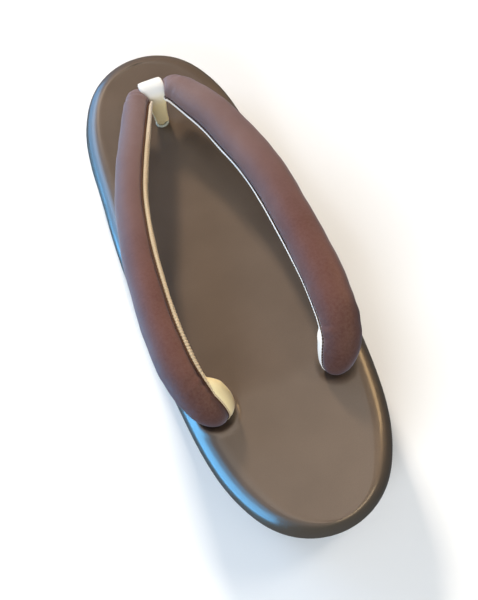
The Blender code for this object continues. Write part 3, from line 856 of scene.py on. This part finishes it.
def ivory(name, warm, pale, axis="X", low=-0.012, high=0.012):
    """A pale cloth that goes from one colour to another along one of the sandal's axes."""
    s = Surface(name, Sheen_Weight=0.25, Sheen_Roughness=0.5, Specular_IOR_Level=0.35)
    cloth = s.noise(1400, 2.0, 0.6)
    soft = s.noise(90, 2.0)
    # This blend along an axis is painted light and shade in the lining, the rolled edge and the band.
    side = s.spread(s.axis(axis), low, high)
    base = s.mix(side, warm, pale)
    s.colour(s.mix(s.spread(soft, 0.3, 0.75, 0.0, 0.25), base, (0.66, 0.52, 0.33, 1)))
    s.rough(s.spread(cloth, 0.3, 0.7, 0.62, 0.8))
    s.bumps((soft, 0.10, 0.0004), (cloth, 0.25, 0.00010))
    return s.material


# Painted shade: a dark brown cord that stands for the shade on the fabric beside the inner seam.
def painted_seam_shade():
    s = Surface("seam_painted_shade", Specular_IOR_Level=0.2)
    fine = s.noise(900, 2.0, 0.6)
    s.colour(s.mix(s.spread(fine, 0.3, 0.7), (0.058, 0.026, 0.014, 1), (0.085, 0.040, 0.022, 1)))
    s.rough(s.spread(fine, 0.3, 0.7, 0.65, 0.8))
    s.bumps((fine, 0.2, 0.0001),)
    return s.material


def rubber():
    s = Surface("outsole_black", Specular_IOR_Level=0.45)
    fine = s.noise(900, 3.0, 0.6)
    dusty = s.noise(40, 2.0)
    s.colour(s.mix(s.spread(dusty, 0.4, 0.8, 0.0, 0.5), (0.012, 0.012, 0.013, 1), (0.030, 0.029, 0.028, 1)))
    s.rough(s.spread(fine, 0.3, 0.7, 0.55, 0.7))
    s.bumps((fine, 0.25, 0.00012),)
    return s.material


def floor_paint():
    s = Surface("floor_pale", Base_Color=(0.86, 0.86, 0.855, 1), Roughness=0.9, Specular_IOR_Level=0.0)
    return s.material


def add(piece, surface, slot, *nodes):
    piece.data.materials.append(surface)
    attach(piece, "root")
    if nodes:
        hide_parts(*nodes)
    return piece


# Name, place, aim, width, height, power, colour, kind. A lamp isn't mirrored, and a glow is seen only in reflections.
LIGHTS = (
    ("overhead", (0.0, -0.30, 1.25), (0.0, 0.0, 0.0), 1.2, 0.8, 2.2, (1.0, 0.97, 0.93), "both"),
    ("front_lamp", (0.04, 1.02, 0.62), (0.0, 0.0, 0.0), 0.14, 0.14, 15.0, (1.0, 0.89, 0.76), "lamp"),
    ("rear_window", (-0.42, -0.64, 0.48), (0.0, 0.0, 0.03), 0.50, 0.40, 7.2, (0.84, 0.92, 1.0), "lamp"),
    ("right_side", (0.58, -0.08, 0.66), (0.0, 0.0, 0.02), 0.22, 0.22, 1.6, (1.0, 0.90, 0.78), "lamp"),
    ("left_sky", (-0.55, 0.76, 0.44), (0.0, 0.0, 0.02), 0.55, 0.45, 5.0, (0.50, 0.70, 1.0), "both"),
    ("left_glow_low", (-0.80, 0.05, -0.17), (0.0, 0.05, 0.02), 1.20, 0.58, 32.0, (0.12, 0.52, 1.0), "glow"),
    ("left_glow_high", (-0.80, 0.05, 0.28), (0.0, 0.05, 0.02), 1.20, 0.34, 6.5, (0.10, 0.50, 1.0), "glow"),
    ("front_glow", (-0.56, 0.74, 0.14), (0.0, 0.0, 0.02), 0.80, 0.65, 8.0, (0.08, 0.48, 1.0), "glow"),
    ("right_glow", (0.80, 0.16, 0.42), (0.0, -0.05, 0.03), 0.45, 0.40, 6.5, (1.0, 0.68, 0.34), "glow"),
    ("rear_glow", (0.42, -0.72, 0.40), (0.0, -0.08, 0.03), 0.90, 0.30, 7.0, (1.0, 0.78, 0.50), "glow"),
    ("toe_glow", (-0.14, 0.84, 0.78), (0.0, 0.08, 0.02), 0.40, 0.26, 2.2, (1.0, 0.76, 0.52), "glow"),
    ("satin_glow", (0.0, 0.14, 1.20), (0.0, 0.10, 0.0), 1.2, 0.85, 5.8, (1.0, 0.88, 0.74), "glow"),
)


def soft_light(name, place, aim, width, height, power, colour):
    data = bpy.data.lights.new(name, "AREA")
    data.shape = "RECTANGLE"
    data.size, data.size_y = width, height
    data.energy = power
    data.color = colour
    light = bpy.data.objects.new(name, data)
    light.location = place
    light.rotation_euler = (Vector(aim) - Vector(place)).to_track_quat("-Z", "Y").to_euler()
    bpy.context.scene.collection.objects.link(light)
    return light


def make_studio():
    """A pale floor, which isn't mirrored in the sandal and doesn't light it, the lights and a dim world."""
    bpy.ops.mesh.primitive_plane_add(size=6.0, location=(0.0, 0.0, 0.0))
    floor = bpy.context.active_object
    floor.name = "studio_floor"
    floor.data.materials.append(floor_paint())
    floor.visible_glossy = False
    floor.visible_diffuse = False
    for *looks, kind in LIGHTS:
        light = soft_light(*looks)
        light.visible_glossy = kind != "lamp"
        light.visible_diffuse = kind != "glow"
    world = bpy.data.worlds.new("studio")
    world.use_nodes = True
    world.node_tree.nodes["Background"].inputs["Color"].default_value = (0.85, 0.92, 1.0, 1)
    world.node_tree.nodes["Background"].inputs["Strength"].default_value = 0.14
    bpy.context.scene.view_settings.view_transform = "Standard"
    bpy.context.scene.world = world


def make_camera():
    """The photo's own viewpoint, turned to the one sandal and rolled as in the photo."""
    data = bpy.data.cameras.new("camera")
    data.lens = CAMERA_LENS
    data.clip_start = 0.01
    camera = bpy.data.objects.new("camera", data)
    turn = (Vector(CAMERA_AIM) - Vector(CAMERA_PLACE)).to_track_quat("-Z", "Y").to_matrix()
    roll = Matrix.Rotation(math.radians(CAMERA_ROLL), 3, "Z")
    camera.location = CAMERA_PLACE
    camera.rotation_euler = (turn @ roll).to_euler()
    bpy.context.scene.collection.objects.link(camera)
    bpy.context.scene.camera = camera


make_camera()
make_studio()

add(make_body(), leather(), "wrapped_leather", "sole_body")
add(make_outsole(), rubber(), "outsole_rubber", "outsole")
padding = add(make_strap(), suede(), "strap_fabric", "strap")
# Painted light: the lining is cream on the left arm and painted near white on the right arm, where it catches the
# light.
lining_cloth = ivory("lining_ivory", (0.80, 0.64, 0.33, 1), (0.86, 0.84, 0.80, 1))
add(make_lining(), lining_cloth, "loop_fabric")
# Painted light and shade: the rolled edge is a darker warm tan on the left arm, where it lies in shade, and near
# white on the right arm, where it catches the light.
edge_cloth = ivory("edge_ivory", (0.52, 0.39, 0.24, 1), (0.90, 0.90, 0.88, 1))
add(make_line("strap_edge", 0.0, 1.0, EDGE_STAND), edge_cloth, "loop_fabric")
# Painted shade along the inner seam, drawn as a dark cord.
seam_shade_line = make_line("strap_seam_shade", SEAM_SHADE_LEAD, SEAM_SHADE_SHARE, SEAM_SHADE_STAND)
add(seam_shade_line, painted_seam_shade(), "strap_fabric")
# Painted light: the band's lower part is a bright warm tan, as if lit by warm light, and its top a paler grey-white.
band_cloth = ivory("loop_ivory", (0.97, 0.80, 0.44, 1), (0.74, 0.73, 0.70, 1), "Z", 0.031, 0.038)
add(make_loop(), band_cloth, "loop_fabric", "toe_loop")
add(make_foot(), band_cloth, "loop_fabric")
add(make_collar(), ivory("turn_pale", (0.62, 0.66, 0.56, 1), (0.66, 0.70, 0.60, 1)), "loop_fabric")
